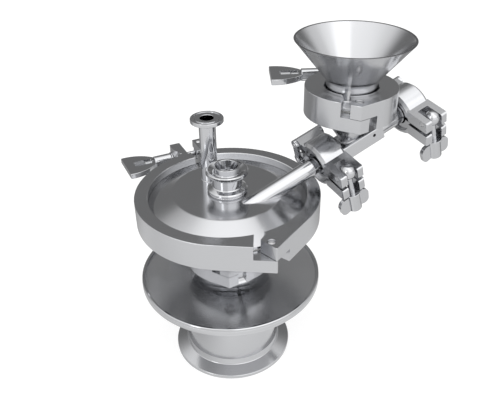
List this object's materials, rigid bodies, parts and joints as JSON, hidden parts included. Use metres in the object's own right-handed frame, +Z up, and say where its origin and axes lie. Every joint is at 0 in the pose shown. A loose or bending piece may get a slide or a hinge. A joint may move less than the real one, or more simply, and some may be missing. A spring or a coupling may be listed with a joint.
{
  "type": "jet mill",
  "caption": "Small sanitary spiral jet mill: clamped pancake chamber, slanted injector feed with hopper, flanged discharge neck.",
  "frame": {"origin": "centre of the bottom flange's face, on the mill's axis, where the part stands", "axes": "+Z up along the mill's axis, +X level in the direction in which the feeder runs out, +Y completes the right-handed frame, towards the clamps' bolts"},
  "size_m": [0.2404, 0.1855, 0.2586],
  "materials": {
    "polished_steel": "mirror polish",
    "clamp_steel": "fine satin",
    "hardware_steel": "satin",
    "gasket": "matt white silicone"
  },
  "bodies": {
    "mill": {"outlet_ferrule": "polished_steel", "discharge_disc": "polished_steel", "discharge_neck": "polished_steel", "top_cover": "polished_steel", "bottom_cover": "polished_steel", "cover_ferrule": "polished_steel", "cover_gasket": "gasket", "grinding_ring": "polished_steel", "ring_seals": "gasket", "chamber_lid": "polished_steel", "outlet_tube": "polished_steel", "gas_inlet": "polished_steel", "centre_port": "polished_steel", "feed_tube": "polished_steel", "injector_body": "polished_steel", "hopper_seat": "polished_steel", "gas_nozzle": "polished_steel", "feed_gasket": "gasket", "nozzle_gasket": "gasket", "hopper": "polished_steel", "hopper_gasket": "gasket", "outlet_gasket": "gasket", "head_clamp_left_half": "clamp_steel", "head_clamp_right_half": "clamp_steel", "head_clamp_hinge_pin": "hardware_steel", "head_clamp_bolt_pin": "hardware_steel", "outlet_clamp_left_half": "clamp_steel", "outlet_clamp_right_half": "clamp_steel", "outlet_clamp_hinge_pin": "hardware_steel", "outlet_clamp_bolt_pin": "hardware_steel", "hopper_clamp_left_half": "clamp_steel", "hopper_clamp_right_half": "clamp_steel", "hopper_clamp_hinge_pin": "hardware_steel", "hopper_clamp_bolt_pin": "hardware_steel", "feed_clamp_upper_half": "clamp_steel", "feed_clamp_lower_half": "clamp_steel", "feed_clamp_hinge_links": "hardware_steel", "feed_clamp_hinge_pins": "hardware_steel", "feed_clamp_bolt_pin": "hardware_steel", "gas_clamp_upper_half": "clamp_steel", "gas_clamp_lower_half": "clamp_steel", "gas_clamp_hinge_links": "hardware_steel", "gas_clamp_hinge_pins": "hardware_steel", "gas_clamp_bolt_pin": "hardware_steel"},
    "head_bolt": {"head_clamp_swing_bolt": "hardware_steel"},
    "head_washer": {"head_clamp_washer": "hardware_steel"},
    "head_nut": {"head_clamp_paddle_nut": "hardware_steel"},
    "outlet_bolt": {"outlet_clamp_swing_bolt": "hardware_steel"},
    "outlet_washer": {"outlet_clamp_washer": "hardware_steel"},
    "outlet_nut": {"outlet_clamp_paddle_nut": "hardware_steel"},
    "hopper_bolt": {"hopper_clamp_swing_bolt": "hardware_steel"},
    "hopper_washer": {"hopper_clamp_washer": "hardware_steel"},
    "hopper_nut": {"hopper_clamp_paddle_nut": "hardware_steel"},
    "feed_bolt": {"feed_clamp_swing_bolt": "hardware_steel"},
    "feed_washer": {"feed_clamp_washer": "hardware_steel"},
    "feed_nut": {"feed_clamp_wing_nut": "hardware_steel"},
    "gas_bolt": {"gas_clamp_swing_bolt": "hardware_steel"},
    "gas_washer": {"gas_clamp_washer": "hardware_steel"},
    "gas_nut": {"gas_clamp_wing_nut": "hardware_steel"}
  },
  "joints": [
    {"name": "head_bolt_swing", "type": "hinge", "parent": "mill", "child": "head_bolt", "pos_m": [0.01479, 0.08531, 0.1405], "axis": [0, 0, -1], "range_deg": [0, 90]},
    {"name": "head_nut_travel", "type": "slide", "parent": "head_bolt", "child": "head_washer", "axis": [-0.9984, 0.0558, 0], "range_m": [0, 0.0016]},
    {"name": "head_nut_turn", "type": "hinge", "parent": "head_washer", "child": "head_nut", "pos_m": [0.01479, 0.08531, 0.1405], "axis": [-0.9984, 0.0558, 0], "range_deg": [0, 721]},
    {"name": "outlet_bolt_swing", "type": "hinge", "parent": "mill", "child": "outlet_bolt", "pos_m": [0.03212, 0.03967, 0.0988], "axis": [0, 0, -1], "range_deg": [0, 90]},
    {"name": "outlet_nut_travel", "type": "slide", "parent": "outlet_bolt", "child": "outlet_washer", "axis": [-0.8854, 0.4648, 0], "range_m": [0, 0.0016]},
    {"name": "outlet_nut_turn", "type": "hinge", "parent": "outlet_washer", "child": "outlet_nut", "pos_m": [0.03212, 0.03967, 0.0988], "axis": [-0.8854, 0.4648, 0], "range_deg": [0, 721]},
    {"name": "hopper_bolt_swing", "type": "hinge", "parent": "mill", "child": "hopper_bolt", "pos_m": [0.12323, 0.01863, 0.2137], "axis": [0, 0, -1], "range_deg": [0, 90]},
    {"name": "hopper_nut_travel", "type": "slide", "parent": "hopper_bolt", "child": "hopper_washer", "axis": [-0.8973, 0.4415, 0], "range_m": [0, 0.0016]},
    {"name": "hopper_nut_turn", "type": "hinge", "parent": "hopper_washer", "child": "hopper_nut", "pos_m": [0.12323, 0.01863, 0.2137], "axis": [-0.8973, 0.4415, 0], "range_deg": [0, 721]},
    {"name": "feed_bolt_swing", "type": "hinge", "parent": "mill", "child": "feed_bolt", "pos_m": [0.07124, -0.05185, 0.17246], "axis": [-0.9489, 0, -0.3156], "range_deg": [0, 85]},
    {"name": "feed_nut_travel", "type": "slide", "parent": "feed_bolt", "child": "feed_washer", "axis": [0.3151, 0.061, -0.9471], "range_m": [0, 0.0016]},
    {"name": "feed_nut_turn", "type": "hinge", "parent": "feed_washer", "child": "feed_nut", "pos_m": [0.07124, -0.05185, 0.17246], "axis": [0.3151, 0.061, -0.9471], "range_deg": [0, 721]},
    {"name": "gas_bolt_swing", "type": "hinge", "parent": "mill", "child": "gas_bolt", "pos_m": [0.14601, -0.05185, 0.19733], "axis": [-0.9489, 0, -0.3156], "range_deg": [0, 85]},
    {"name": "gas_nut_travel", "type": "slide", "parent": "gas_bolt", "child": "gas_washer", "axis": [0.3151, 0.061, -0.9471], "range_m": [0, 0.0016]},
    {"name": "gas_nut_turn", "type": "hinge", "parent": "gas_washer", "child": "gas_nut", "pos_m": [0.14601, -0.05185, 0.19733], "axis": [0.3151, 0.061, -0.9471], "range_deg": [0, 721]}
  ],
  "couplings": [
    {"joint": "head_nut_turn", "follows": "head_nut_travel", "rad_per_m": 7854},
    {"joint": "outlet_nut_turn", "follows": "outlet_nut_travel", "rad_per_m": 7854},
    {"joint": "hopper_nut_turn", "follows": "hopper_nut_travel", "rad_per_m": 7854},
    {"joint": "feed_nut_turn", "follows": "feed_nut_travel", "rad_per_m": 7854},
    {"joint": "gas_nut_turn", "follows": "gas_nut_travel", "rad_per_m": 7854}
  ]
}
